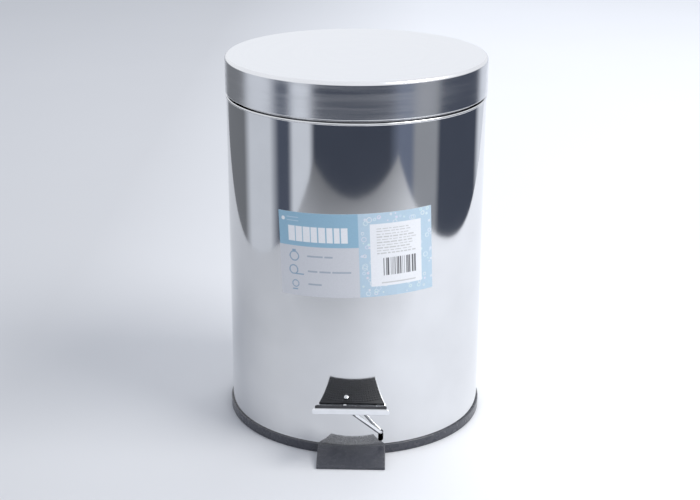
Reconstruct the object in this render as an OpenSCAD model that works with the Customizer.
// Round pedal bin: a polished steel shell on a black plastic base, an inner bucket and a hinged lid.
// Pressing the pedal turns a wire lever, which lifts a rod behind the bucket and turns the lid's crank.
// The origin is on the floor under the bin's axis, the front is at -Y, and every piece is drawn closed.

/* [Overall] */
// Height of the closed bin over the floor
bin_h = 295; // [230:1:400]
// Outer diameter of the lid
lid_d = 205; // [170:1:280]

/* [Lid] */
// Height of the lid's skirt
skirt_h = 28.7; // [24:0.1:45]
// Thickness of the lid's sheet
lid_wall = 0.8; // [0.5:0.1:1.2]
// Radius of the rounded top edge
lid_edge_r = 3; // [2:0.1:8]
// Radius of the bead rolled inwards at the lower edge
lid_bead_r = 0.95; // [0.7:0.05:1.5]
// Angle that the lid opens
lid_turn = 75; // [50:1:80]

/* [Shell] */
// How far the shell is set in from the lid's outside
shell_inset = 0.7; // [0.3:0.1:3]
// Thickness of the shell's sheet
shell_wall = 0.6; // [0.4:0.1:1.2]
// Gap between the shell's hem and the closed lid
lid_gap = 2.7; // [1.8:0.1:6]
// Radius of the hem pressed outwards round the shell
hem_r = 1.1; // [0.6:0.1:1.5]
// How far the shell's neck stands up inside the lid
neck_rise = 5.7; // [3:0.1:12]

/* [Base] */
// Height of the black ring round the shell's foot
ring_h = 7.3; // [5:0.1:15]
// Thickness of the ring outside the shell
ring_wall = 1.3; // [1:0.1:4]
// Thickness of the base's floor
floor_t = 2.4; // [1.6:0.1:5]
// Width of the foot tab under the pedal
tab_w = 52.5; // [30:0.5:80]
// How far the foot tab reaches in front of the shell
tab_reach = 26.1; // [15:0.1:40]
// Height of the foot tab's front edge
tab_edge_h = 2.1; // [1.2:0.1:6]
// Width of the base's flat foot, inside its outer edge
foot_land = 15.2; // [6:0.1:25]

/* [Pedal] */
// Width of the rubber pad
pad_w = 54; // [30:0.5:80]
// Length of the rubber pad up its slope
pad_l = 24.5; // [16:0.5:40]
// Thickness of the rubber pad
pad_t = 2.6; // [1.5:0.1:5]
// Width of the folded steel tread
tread_w = 58.7; // [40:0.1:90]
// Thickness of the tread's sheet
tread_t = 1; // [0.8:0.1:2]
// Height of the tread's front lip
lip_h = 4.4; // [3:0.1:8]
// Slope of the tread, rising away from the shell
tread_tilt = 26; // [0:1:35]
// Height of the tread's inner edge
tread_z = 43; // [38:1:60]
// Diameter of the pedal lever's wire
wire_d = 3.2; // [2.5:0.1:5]
// Distance of the lever's pivot behind the shell's front
pivot_back = 45.8; // [35:0.1:60]
// Height of the lever's pivot
pivot_z = 11.5; // [11:0.1:14]

/* [Hinge] */
// Distance of the hinge axis behind the lid
hinge_back = 7.5; // [7:0.1:12]
// Diameter of the hinge pin and the crank pin
pin_d = 3; // [2.5:0.1:4]
// Length of the lid's crank
crank_l = 16; // [14:0.5:20]
// Diameter of the lift rod
rod_d = 4; // [3:0.1:6]

/* [Bucket] */
// How much smaller the bucket's bottom radius is than its top radius
bucket_taper = 5.5; // [3:0.1:20]
// Wall of the bucket
bucket_wall = 1.5; // [1:0.1:3]
// Diameter of the bucket handle's wire
bail_d = 2.8; // [2:0.1:4]

/* [Label] */
// Height of the paper label
label_h = 66; // [30:1:90]
// Width of the label, measured round the shell
label_w = 121; // [60:1:160]
// Height of the label's lower edge at its middle
label_z = 130.3; // [60:0.1:150]
// Turn of the label round the shell, away from the middle of the front
label_turn = 1.6; // [-20:0.1:20]
// Slope of the label, rising to the right
label_tilt = 2.2; // [0:0.1:6]

/* [Fits] */
// Radial play of a pin or rod that turns or slides
run_fit = 0.05; // [0.02:0.01:0.1]
// Play between fixed pieces
seat_fit = 0.02; // [0.01:0.01:0.05]
// Smallest gap between pieces that move past each other
move_gap = 0.4; // [0.3:0.05:1]

/* [Hidden] */
$fn = 96;
eps = 0.01;
// A bent wire is a hair thicker at its bends
bend_swell = 0.04;

lid_r = lid_d / 2;
skirt_z = bin_h - skirt_h;
lid_mouth_r = lid_r - 2 * lid_bead_r;
shell_r = lid_r - shell_inset;
shell_in_r = shell_r - shell_wall;
hem_z = skirt_z - lid_gap;
neck_gap = 1;
neck_r = lid_mouth_r - neck_gap;
neck_top = skirt_z + neck_rise;

// Base: groove for the shell, collar inside it, and the shallow recess below
groove_play = 0.15;
groove_in = shell_in_r - groove_play;
groove_out = shell_r + groove_play;
ring_r = groove_out + ring_wall;
collar_t = 2.6;
collar_h = ring_h - 1.3;
hub_r = 32;
recess_d = 0.8;
tab_root = 12;

// Hinge, crank and lift rod. The crank swings from half its angle below level to as far above.
hinge_y = lid_r + hinge_back;
hinge_z = skirt_z - 0.3;
pin_r = pin_d / 2;
half_turn = lid_turn / 2;
crank_y = hinge_y - crank_l * cos(half_turn);
crank_z = hinge_z - crank_l * sin(half_turn);
rod_r = rod_d / 2;
rod_y = (crank_y + hinge_y - crank_l) / 2;
rod_lift = 2 * crank_l * sin(half_turn);
crank_sway = crank_y - (hinge_y - crank_l);

// Lugs and arms across the hinge, as half widths from the middle plane
ear_in = 9;
ear_t = 1.5;
ear_r = 6;
knuckle_x = ear_in - move_gap;
knuckle_r = pin_r + 2.1;
arm_in = 3;
arm_t = 2;
arm_r = 3;
notch_x = 7.5;
notch_z = crank_z - arm_r - 0.25;
plate_x = 15;

// Slotted eye on the rod: long enough for the crank's sway, high enough for its lead over the rod
eye_lead = 0.3;
eye_wall = 1.6;
eye_half_y = crank_sway / 2 + pin_r + move_gap + eye_wall;
eye_half_z = pin_r + eye_lead + move_gap + eye_wall;
eye_stem_r = rod_r + 1.4;
eye_stem_l = 8;

// Pedal lever and its pivot
wire_r = wire_d / 2;
pivot_y = pivot_back - shell_r;
pivot_x = 12;
pivot_pin_r = 2;
sleeve_r = 3.4;
sleeve_half = 7;
weld_sink = 0.3;
wire_bend = 5;
boss_h = 2.6;
bracket_t = 1.5;
bracket_z = floor_t + boss_h;
lever_z = pivot_z - 1.5;
pedal_turn = atan(rod_lift / (rod_y - pivot_y));
foot_r = 3.2;
foot_z = lever_z + wire_r + move_gap + foot_r;
foot_l = 6;
exit_x = 22.6;
exit_y = -sqrt(shell_r * shell_r - exit_x * exit_x);
exit_z = 18.2;
exit_drop = (-exit_y + pivot_y) * sin(pedal_turn);
slot_gap = 0.35;
slot_spare = 0.4;

// Tread frame: the inner top edge of the pad, tilted
tread_gap = 2.4;
tread_y = -(shell_r + tread_gap);
wire_under = pad_t + tread_t + wire_r;
// Along the tread: the wire's end and bend, the strap that holds it, and the pad's rivet beside it
wire_end_y = 4 - pad_l;
wire_bend_y = wire_end_y + 10.5;
saddle_y = wire_end_y + 2.9;
saddle_l = 4.8;
pad_rivet_x = -5;
pad_rivet_y = -5;
pad_rivet_r = 1.2;
pad_head_r = 1.9;

// Bucket and its handle
rim_t = 1.6;
bucket_z = pivot_z + rod_lift + wire_r + 5.4;
bucket_top_r = rod_y - eye_half_y - 1;
bucket_foot_r = bucket_top_r - bucket_taper;
rim_notch_x = 12;
bail_r = bail_d / 2;
bail_z = neck_top + rim_t + 3.7;
bail_arc_r = bucket_top_r + 0.5;
lug_t = 3;
lug_x = bail_arc_r + bail_r + 1.1 + lug_t / 2;
grip_r = bail_r + 1.9;

// Rivets at the back, as angles to each side of it, and the rod's guides
rivet_r = 1.5;
guide_rivet_az = 6;
guide_z = [60, hem_z - 41.6];
guide_h = 12;
guide_t = 3;
bracket_rivet_az = 2.8;
bracket_rivet_z = hem_z - 18.6;
lid_rivet_az = 5;
lid_rivet_z = skirt_z + 14;

// Place of a point of the tread frame in the bin's frame
function on_tread(x, y, z) = [
    x,
    tread_y + y * cos(tread_tilt) + z * sin(tread_tilt),
    tread_z - y * sin(tread_tilt) + z * cos(tread_tilt)];

// Centre line of the pedal lever, from under the tread to the back of the bin
WIRE = [
    on_tread(0.5, wire_end_y, -wire_under),
    on_tread(0.5, wire_bend_y, -wire_under),
    [exit_x - 0.1, exit_y - 4.2, exit_z + 1],
    [exit_x, exit_y + 7.3, exit_z - 2.6],
    [pivot_x, pivot_y - 7, pivot_z + sleeve_r + wire_r - weld_sink],
    [pivot_x, pivot_y + 7, pivot_z + sleeve_r + wire_r - weld_sink],
    [0, pivot_y + 51, lever_z],
    [0, rod_y + 3.8, lever_z]];

function arc_pts(c, r, a0, a1, n) =
    [for (i = [0:n]) c + r * [cos(a0 + (a1 - a0) * i / n), sin(a0 + (a1 - a0) * i / n)]];

// ---- shared shapes ----

// Ring between two radii, standing on z
module tube(r_out, r_in, z, h, fn = 180) {
    translate([0, 0, z])
    difference() {
        cylinder(r = r_out, h = h, $fn = fn);
        translate([0, 0, -eps])
        cylinder(r = r_in, h = h + 2 * eps, $fn = fn);
    }
}

function unit(v) = v / norm(v);

// A path with each inner corner replaced by a curve that starts and ends a reach away from it
function rounded(path, reach) = concat(
    [path[0]],
    [for (i = [1:len(path) - 2]) each corner_pts(path[i - 1], path[i], path[i + 1], reach, 5)],
    [path[len(path) - 1]]);

function corner_pts(a, p, b, reach, n) = [
    for (i = [0:n])
        let (t = i / n, s = p + reach * unit(a - p), e = p + reach * unit(b - p))
        (1 - t) * (1 - t) * s + 2 * t * (1 - t) * p + t * t * e];

// Round wire of one radius swept along a path that is never level with X
module swept(path, r, sides) {
    last = len(path) - 1;
    points = [
        for (i = [0:last])
            let (
                t = unit(path[min(i + 1, last)] - path[max(i - 1, 0)]),
                u = unit(cross([1, 0, 0], t)),
                v = cross(t, u))
            for (k = [0:sides - 1])
                path[i] + r * (u * cos(360 * k / sides) + v * sin(360 * k / sides))];
    walls = [
        for (i = [0:last - 1])
            for (k = [0:sides - 1])
                let (a = i * sides + k, b = i * sides + (k + 1) % sides)
                each [[b + sides, b, a], [a + sides, b + sides, a]]];
    start_cap = [for (k = [0:sides - 1]) k];
    end_cap = [for (k = [sides - 1:-1:0]) last * sides + k];
    polyhedron(points, concat(walls, [start_cap, end_cap]));
}

// Round bar between two points
module bar(p, q, r) {
    d = q - p;
    l = norm(d);
    translate(p)
    rotate([0, acos(d[2] / l), atan2(d[1], d[0])])
    cylinder(r = r, h = l, $fn = 32);
}

// Cylinder along X, centred on x = 0
module across(r, half, y, z) {
    translate([-half, y, z])
    rotate([0, 90, 0])
    cylinder(r = r, h = 2 * half, $fn = 48);
}

// Flat bar with round ends in the YZ plane, from x0 over a thickness t
module link(p, q, r, x0, t) {
    d = q - p;
    translate([x0, 0, 0])
    rotate([90, 0, 90])
    linear_extrude(t)
    union() {
        translate(p)
        circle(r, $fn = 48);
        translate(q)
        circle(r, $fn = 48);
        translate(p)
        rotate(atan2(d[1], d[0]))
        translate([0, -r])
        square([norm(d), 2 * r]);
    }
}

// Domed head standing on z = 0
module dome(r, h) {
    ball = (r * r + h * h) / (2 * h);
    intersection() {
        translate([0, 0, h - ball])
        sphere(ball, $fn = 64);
        cylinder(r = r, h = h, $fn = 48);
    }
}

// Turns a shape so that its +Z points away from the bin's axis, at an angle from the back
module outwards(az, r, z) {
    rotate([0, 0, az])
    translate([0, r, z])
    rotate([-90, 0, 0])
    children();
}

// Rivet from a radius inside to a radius outside, with a flat head inside and a domed one outside
module rivet(az, r_in, r_out, z, r) {
    outwards(az, r_in, z)
    union() {
        cylinder(r = r, h = r_out - r_in, $fn = 32);
        translate([0, 0, -0.8])
        cylinder(r = 1.7 * r, h = 0.8, $fn = 32);
        translate([0, 0, r_out - r_in])
        dome(2 * r, 1.1);
    }
}

// Radial hole for such a rivet
module rivet_hole(az, z, r) {
    outwards(az, shell_r - 12, z)
    cylinder(r = r + seat_fit, h = 30, $fn = 32);
}

// Piece of a ring that lies on the shell, within a half width in x
module saddle_plate(r_in, t, half, z, h) {
    intersection() {
        tube(r_in + t, r_in, z, h);
        translate([-half, 0, z - 1])
        cube([2 * half, r_in + t + 1, h + 2]);
    }
}

// ---- standing pieces ----

module base() {
    color([0.07, 0.07, 0.08])
    difference() {
        union() {
            cylinder(r = ring_r, h = ring_h, $fn = 180);
            translate([-tab_w / 2, 0, 0])
            rotate([90, 0, 90])
            linear_extrude(tab_w)
            polygon([
                [-shell_r + tab_root, 0],
                [-shell_r - tab_reach, 0],
                [-shell_r - tab_reach, tab_edge_h],
                [-shell_r - 1, ring_h],
                [-shell_r + tab_root, ring_h]]);
        }
        translate([0, 0, floor_t])
        cylinder(r = groove_in - collar_t, h = ring_h, $fn = 180);
        tube(groove_out, groove_in, floor_t, ring_h);
        translate([0, 0, collar_h])
        cylinder(r = groove_in + eps, h = ring_h, $fn = 180);
        tube(ring_r - foot_land, hub_r, -1, 1 + recess_d);
        base_pilots();
    }
    color([0.07, 0.07, 0.08])
    difference() {
        for (s = [-1, 1])
            translate([pivot_x, pivot_y + 11 * s, floor_t - eps])
            cylinder(r = 4.6, h = boss_h + eps, $fn = 48);
        base_pilots();
    }
}

module base_pilots() {
    for (s = [-1, 1])
        translate([pivot_x, pivot_y + 11 * s, 1.2])
        cylinder(r = 1.3, h = 12, $fn = 32);
}

module body_shell() {
    color([0.80, 0.81, 0.83])
    difference() {
        rotate_extrude($fn = 180)
        union() {
            translate([shell_in_r, floor_t])
            square([shell_wall, hem_z - floor_t]);
            translate([shell_r - 0.6, hem_z])
            circle(hem_r, $fn = 32);
            translate([neck_r - shell_wall, hem_z])
            square([shell_r - neck_r, shell_wall]);
            translate([neck_r - shell_wall, hem_z])
            square([shell_wall, neck_top - hem_z]);
        }
        // notch for the lid's crank, open at the top
        translate([-notch_x, 0, notch_z])
        cube([2 * notch_x, lid_r + 5, neck_top]);
        // slot for the pedal lever
        pedal_slot();
        for (s = [-1, 1])
            for (z = guide_z)
                rivet_hole(s * guide_rivet_az, z + guide_h / 2, rivet_r);
        for (s = [-1, 1])
            rivet_hole(s * bracket_rivet_az, bracket_rivet_z, rivet_r);
    }
}

// Upright slot with round ends, from the lever's rest place down to its pressed place
module pedal_slot() {
    r = wire_r + slot_gap;
    high = exit_z;
    low = exit_z - exit_drop - slot_spare;
    translate([exit_x, -shell_r - 2, 0])
    rotate([-90, 0, 0])
    linear_extrude(14)
    union() {
        translate([0, -high])
        circle(r, $fn = 32);
        translate([0, -low])
        circle(r, $fn = 32);
        translate([-r, -high])
        square([2 * r, high - low]);
    }
}

module label() {
    half_chord = shell_r * sin(label_w / 2 / shell_r * 180 / PI);
    gap = 0.03;
    thick = 0.22;
    color([0.62, 0.78, 0.86])
    intersection() {
        tube(shell_r + gap + thick, shell_r + gap, skirt_h, bin_h - 2 * skirt_h);
        rotate([0, 0, label_turn])
        translate([0, 0, label_z + label_h / 2])
        rotate([0, -label_tilt, 0])
        translate([-half_chord, -shell_r - 5, -label_h / 2])
        cube([2 * half_chord, shell_r, label_h]);
    }
}

module pivot_bracket() {
    ear_x = sleeve_half + move_gap;
    color([0.62, 0.63, 0.65])
    difference() {
        union() {
            translate([pivot_x - ear_x - bracket_t, pivot_y - 15, bracket_z])
            cube([2 * (ear_x + bracket_t), 30, bracket_t]);
            for (x = [pivot_x - ear_x - bracket_t, pivot_x + ear_x])
                link([pivot_y, bracket_z + 4.2], [pivot_y, pivot_z], 4, x, bracket_t);
        }
        translate([pivot_x, 0, 0])
        across(pivot_pin_r + seat_fit, 20, pivot_y, pivot_z);
        for (s = [-1, 1])
            translate([pivot_x, pivot_y + 11 * s, bracket_z - 1])
            cylinder(r = 1.8, h = 5, $fn = 32);
        // the ears' lower ends stay above the bosses' plane
        translate([pivot_x - 20, pivot_y - 20, bracket_z - 10])
        cube([40, 40, 10]);
    }
}

module pivot_bracket_screws() {
    color([0.70, 0.70, 0.72])
    for (s = [-1, 1])
        translate([pivot_x, pivot_y + 11 * s, 0])
        difference() {
            union() {
                translate([0, 0, 1.4])
                cylinder(r = 1.25, h = bracket_z + bracket_t - 1.4, $fn = 32);
                translate([0, 0, bracket_z + bracket_t])
                dome(2.8, 1.7);
            }
            translate([-1.7, -0.35, bracket_z + bracket_t + 0.8])
            cube([3.4, 0.7, 3]);
            translate([-0.35, -1.7, bracket_z + bracket_t + 0.8])
            cube([0.7, 3.4, 3]);
        }
}

module pivot_pin() {
    reach = sleeve_half + move_gap + bracket_t;
    color([0.72, 0.73, 0.75])
    translate([pivot_x, 0, 0])
    union() {
        across(pivot_pin_r, reach + 1.2, pivot_y, pivot_z);
        for (x = [-reach - 1.3, reach + 0.1])
            translate([x, pivot_y, pivot_z])
            rotate([0, 90, 0])
            cylinder(r = pivot_pin_r + 1, h = 1.2, $fn = 32);
    }
}

// Guide on the inside of the shell's back, with a wing on each side for its rivets
module rod_guide(z) {
    wing_r = shell_in_r - 0.05;
    color([0.90, 0.90, 0.88])
    difference() {
        union() {
            saddle_plate(wing_r - guide_t, guide_t, 14, z, guide_h);
            intersection() {
                translate([-5, rod_y - rod_r - 2.5, z])
                cube([10, 20, guide_h]);
                cylinder(r = wing_r, h = bin_h, $fn = 180);
            }
        }
        translate([0, rod_y, z - 1])
        cylinder(r = rod_r + run_fit, h = guide_h + 2, $fn = 48);
        for (s = [-1, 1])
            rivet_hole(s * guide_rivet_az, z + guide_h / 2, rivet_r);
    }
}

module rod_guide_lower() {
    rod_guide(guide_z[0]);
}

module rod_guide_upper() {
    rod_guide(guide_z[1]);
}

module rod_guide_rivets() {
    color([0.78, 0.79, 0.80])
    for (s = [-1, 1])
        for (z = guide_z)
            rivet(s * guide_rivet_az, shell_in_r - guide_t - 0.1, shell_r + seat_fit, z + guide_h / 2, rivet_r);
}

module hinge_bracket() {
    plate_in = shell_r + seat_fit;
    plate_t = 1.2;
    plate_z = bracket_rivet_z - 6;
    plate_h = 13;
    ear_y = lid_r + 0.6;
    color([0.74, 0.75, 0.77])
    difference() {
        union() {
            saddle_plate(plate_in, plate_t, plate_x, plate_z, plate_h);
            for (x = [-ear_in - ear_t, ear_in])
                translate([x, 0, 0])
                rotate([90, 0, 90])
                linear_extrude(ear_t)
                union() {
                    polygon([
                        [plate_in, plate_z],
                        [plate_in + 2, plate_z],
                        [hinge_y + ear_r, hinge_z],
                        [hinge_y - ear_r, hinge_z],
                        [ear_y, hinge_z - 6],
                        [ear_y, plate_z + plate_h],
                        [plate_in, plate_z + plate_h]]);
                    translate([hinge_y, hinge_z])
                    circle(ear_r, $fn = 48);
                }
        }
        across(pin_r + seat_fit, 30, hinge_y, hinge_z);
        for (s = [-1, 1])
            rivet_hole(s * bracket_rivet_az, bracket_rivet_z, rivet_r);
    }
}

module hinge_bracket_rivets() {
    color([0.78, 0.79, 0.80])
    for (s = [-1, 1])
        rivet(s * bracket_rivet_az, shell_in_r - 0.06, shell_r + 1.25, bracket_rivet_z, rivet_r);
}

module hinge_pin() {
    reach = ear_in + ear_t;
    color([0.72, 0.73, 0.75])
    union() {
        across(pin_r, reach + 1, hinge_y, hinge_z);
        for (x = [-reach - 1.1, reach + 0.1])
            translate([x, hinge_y, hinge_z])
            rotate([0, 90, 0])
            cylinder(r = pin_r + 1, h = 1, $fn = 32);
    }
}

// ---- bucket ----

module inner_bucket() {
    rim_z = neck_top + seat_fit;
    rim_out = neck_r;
    color([0.12, 0.12, 0.13])
    difference() {
        union() {
            rotate_extrude($fn = 180)
            polygon([
                [0, bucket_z],
                [bucket_foot_r, bucket_z],
                [bucket_top_r, rim_z],
                [rim_out, rim_z],
                [rim_out, rim_z + rim_t],
                [bucket_top_r - bucket_wall, rim_z + rim_t],
                [bucket_foot_r - bucket_wall, bucket_z + bucket_wall],
                [0, bucket_z + bucket_wall]]);
            for (s = [-1, 1])
                translate([s * lug_x - lug_t / 2, -4, rim_z + rim_t - eps])
                cube([lug_t, 8, bail_z - rim_z - rim_t + 3.2]);
        }
        // room for the rod and its eye at the back
        translate([-rim_notch_x, bucket_top_r, rim_z - 1])
        cube([2 * rim_notch_x, 20, 10]);
        across(bail_r + run_fit + 0.03, lug_x + 10, 0, bail_z);
    }
}

module bucket_handle() {
    pin_end = lug_x + lug_t / 2 + 1.4;
    color([0.75, 0.76, 0.78])
    union() {
        translate([0, 0, bail_z])
        rotate([0, 0, 180])
        rotate_extrude(angle = 180, $fn = 180)
        translate([bail_arc_r, 0])
        circle(bail_r, $fn = 32);
        for (s = [-1, 1]) {
            bar([s * bail_arc_r, 0, bail_z], [s * pin_end, 0, bail_z], bail_r);
            translate([s * bail_arc_r, 0, bail_z])
            sphere(bail_r + bend_swell, $fn = 32);
        }
    }
}

module handle_grip() {
    half = 20;
    color([0.10, 0.10, 0.11])
    translate([0, 0, bail_z])
    rotate([0, 0, -90 - half])
    rotate_extrude(angle = 2 * half, $fn = 180)
    translate([bail_arc_r, 0])
    difference() {
        circle(grip_r, $fn = 32);
        circle(bail_r + seat_fit, $fn = 32);
    }
}

// ---- lid ----

module lid_shell() {
    inner_r = lid_edge_r - lid_wall;
    corner = [lid_r - lid_edge_r, bin_h - lid_edge_r];
    bead = [lid_r - lid_bead_r, skirt_z + lid_bead_r];
    color([0.72, 0.73, 0.75])
    difference() {
        rotate_extrude($fn = 180)
        polygon(concat(
            [[0, bin_h]],
            arc_pts(corner, lid_edge_r, 90, 0, 8),
            arc_pts(bead, lid_bead_r, 0, acos(1 - lid_wall / lid_bead_r) - 360, 20),
            arc_pts(corner, inner_r, 0, 90, 8),
            [[0, bin_h - lid_wall]]));
        for (s = [-1, 1])
            rivet_hole(s * lid_rivet_az, lid_rivet_z, rivet_r);
    }
}

module lid_bracket() {
    leaf_in = lid_r + seat_fit;
    leaf_t = 1.4;
    leaf_z = hinge_z + 3;
    leaf_h = skirt_h - 10;
    color([0.74, 0.75, 0.77])
    difference() {
        union() {
            saddle_plate(leaf_in, leaf_t, plate_x - 1, leaf_z, leaf_h);
            translate([-knuckle_x, leaf_in + 0.05, hinge_z + knuckle_r - 1.5])
            cube([2 * knuckle_x, hinge_y - leaf_in, 1.5]);
            translate([-knuckle_x, leaf_in + 0.05, hinge_z + knuckle_r - 1.5])
            cube([2 * knuckle_x, leaf_t - 0.1, 2.5]);
            across(knuckle_r, knuckle_x, hinge_y, hinge_z);
            for (x = [-arm_in - arm_t, arm_in])
                link([hinge_y, hinge_z], [crank_y, crank_z], arm_r, x, arm_t);
        }
        across(pin_r + run_fit, 30, hinge_y, hinge_z);
        across(pin_r + seat_fit, 30, crank_y, crank_z);
        for (s = [-1, 1])
            rivet_hole(s * lid_rivet_az, lid_rivet_z, rivet_r);
    }
}

module lid_bracket_rivets() {
    color([0.78, 0.79, 0.80])
    for (s = [-1, 1])
        rivet(s * lid_rivet_az, lid_r - lid_wall - 0.06, lid_r + 1.45, lid_rivet_z, rivet_r);
}

module crank_pin() {
    reach = arm_in + arm_t;
    color([0.72, 0.73, 0.75])
    union() {
        across(pin_r, reach + 0.6, crank_y, crank_z);
        for (x = [-reach - 0.7, reach + 0.1])
            translate([x, crank_y, crank_z])
            rotate([0, 90, 0])
            cylinder(r = pin_r + 0.8, h = 0.6, $fn = 32);
    }
}

// ---- lift rod ----

module lift_rod() {
    low = foot_z + 0.8;
    high = crank_z - eye_half_z - 1;
    color([0.74, 0.75, 0.77])
    translate([0, rod_y, low])
    cylinder(r = rod_r, h = high - low, $fn = 48);
}

module rod_eye() {
    stem_z = crank_z - eye_half_z - eye_stem_l;
    slot_r = eye_half_z - eye_wall;
    slot_half = eye_half_y - eye_wall - slot_r;
    color([0.90, 0.90, 0.88])
    difference() {
        union() {
            translate([-2, rod_y - eye_half_y, crank_z - eye_half_z])
            cube([4, 2 * eye_half_y, 2 * eye_half_z]);
            translate([0, rod_y, stem_z])
            cylinder(r = eye_stem_r, h = eye_stem_l + eps, $fn = 48);
        }
        link([rod_y - slot_half, crank_z], [rod_y + slot_half, crank_z], slot_r, -5, 10);
        translate([0, rod_y, stem_z - 1])
        cylinder(r = rod_r + seat_fit, h = eye_stem_l + eps, $fn = 48);
    }
}

module rod_foot() {
    color([0.90, 0.90, 0.88])
    difference() {
        translate([0, rod_y, foot_z])
        union() {
            sphere(foot_r, $fn = 48);
            cylinder(r = foot_r, h = foot_l, $fn = 48);
        }
        translate([0, rod_y, foot_z + 0.75])
        cylinder(r = rod_r + seat_fit, h = foot_l + 5, $fn = 48);
    }
}

// ---- pedal ----

module pedal_wire() {
    color([0.78, 0.79, 0.81])
    swept(rounded(WIRE, wire_bend), wire_r, 12);
}

module pivot_sleeve() {
    color([0.70, 0.71, 0.73])
    translate([pivot_x, 0, 0])
    difference() {
        across(sleeve_r, sleeve_half, pivot_y, pivot_z);
        across(pivot_pin_r + run_fit, sleeve_half + 1, pivot_y, pivot_z);
    }
}

module in_tread_frame() {
    translate([0, tread_y, tread_z])
    rotate([-tread_tilt, 0, 0])
    children();
}

module pedal_tread() {
    half = tread_w / 2;
    lip_r = lip_h / 2;
    front = on_tread(0, -pad_l - 1, -pad_t - tread_t);
    color([0.78, 0.79, 0.81])
    difference() {
        union() {
            in_tread_frame()
            translate([-half + 1, -pad_l - 1, -pad_t - tread_t])
            cube([2 * half - 2, pad_l + 11, tread_t]);
            // lip folded down at the front, with round ends
            translate([0, front[1] + 0.6, front[2] + 0.75 - lip_r])
            rotate([90, 0, 0])
            linear_extrude(1.4)
            union() {
                translate([-half + lip_r, -lip_r])
                square([2 * half - lip_h, lip_h]);
                for (s = [-1, 1])
                    translate([s * (half - lip_r), 0])
                    circle(lip_r, $fn = 32);
            }
        }
        shell_clearance();
        in_tread_frame()
        translate([pad_rivet_x, pad_rivet_y, -pad_t - tread_t - 1])
        cylinder(r = pad_rivet_r + seat_fit, h = 3, $fn = 32);
    }
}

// Room for the shell, which the inner edges of the tread and the pad follow
module shell_clearance() {
    translate([0, 0, tread_z - 30])
    cylinder(r = shell_r + tread_gap, h = 60, $fn = 180);
}

// Strap bent over the wire and welded to the tread's underside
module tread_saddle() {
    z = -pad_t - tread_t - seat_fit;
    out_r = wire_r + 1;
    color([0.74, 0.75, 0.77])
    in_tread_frame()
    difference() {
        translate([0.5, saddle_y, 0])
        union() {
            translate([-7, -saddle_l / 2, z - 1])
            cube([14, saddle_l, 1]);
            translate([-out_r, -saddle_l / 2, z - wire_r])
            cube([2 * out_r, saddle_l, wire_r]);
            translate([0, saddle_l / 2, z - wire_r])
            rotate([90, 0, 0])
            cylinder(r = out_r, h = saddle_l, $fn = 48);
        }
        translate([0.5, saddle_y + saddle_l, z + seat_fit - wire_r])
        rotate([90, 0, 0])
        cylinder(r = wire_r + seat_fit, h = 2 * saddle_l, $fn = 48);
        translate([0.5 - wire_r - seat_fit, saddle_y - saddle_l, z - wire_r])
        cube([2 * (wire_r + seat_fit), 2 * saddle_l, wire_r + 5]);
        // nothing stands above the tread's underside
        translate([-15, saddle_y - saddle_l, z])
        cube([30, 2 * saddle_l, 10]);
    }
}

module pedal_pad() {
    color([0.06, 0.06, 0.07])
    difference() {
        in_tread_frame()
        translate([-pad_w / 2, -pad_l, -pad_t + seat_fit])
        cube([pad_w, pad_l + 10, pad_t - seat_fit]);
        shell_clearance();
        in_tread_frame()
        translate([pad_rivet_x, pad_rivet_y, -pad_t - 1])
        cylinder(r = pad_rivet_r + seat_fit, h = pad_t + 2, $fn = 32);
    }
}

module pad_rivet() {
    color([0.80, 0.81, 0.83])
    in_tread_frame()
    translate([pad_rivet_x, pad_rivet_y, -pad_t - tread_t])
    union() {
        translate([0, 0, -0.6])
        cylinder(r = pad_rivet_r, h = pad_t + tread_t + 0.63, $fn = 32);
        translate([0, 0, pad_t + tread_t + seat_fit])
        dome(pad_head_r, 0.5);
        translate([0, 0, -0.6])
        cylinder(r = pad_head_r, h = 0.6 - seat_fit, $fn = 32);
    }
}

base();
body_shell();
label();
pivot_bracket();
pivot_bracket_screws();
pivot_pin();
rod_guide_lower();
rod_guide_upper();
rod_guide_rivets();
hinge_bracket();
hinge_bracket_rivets();
hinge_pin();
inner_bucket();
bucket_handle();
handle_grip();
lid_shell();
lid_bracket();
lid_bracket_rivets();
crank_pin();
lift_rod();
rod_eye();
rod_foot();
pedal_wire();
pivot_sleeve();
pedal_tread();
tread_saddle();
pedal_pad();
pad_rivet();
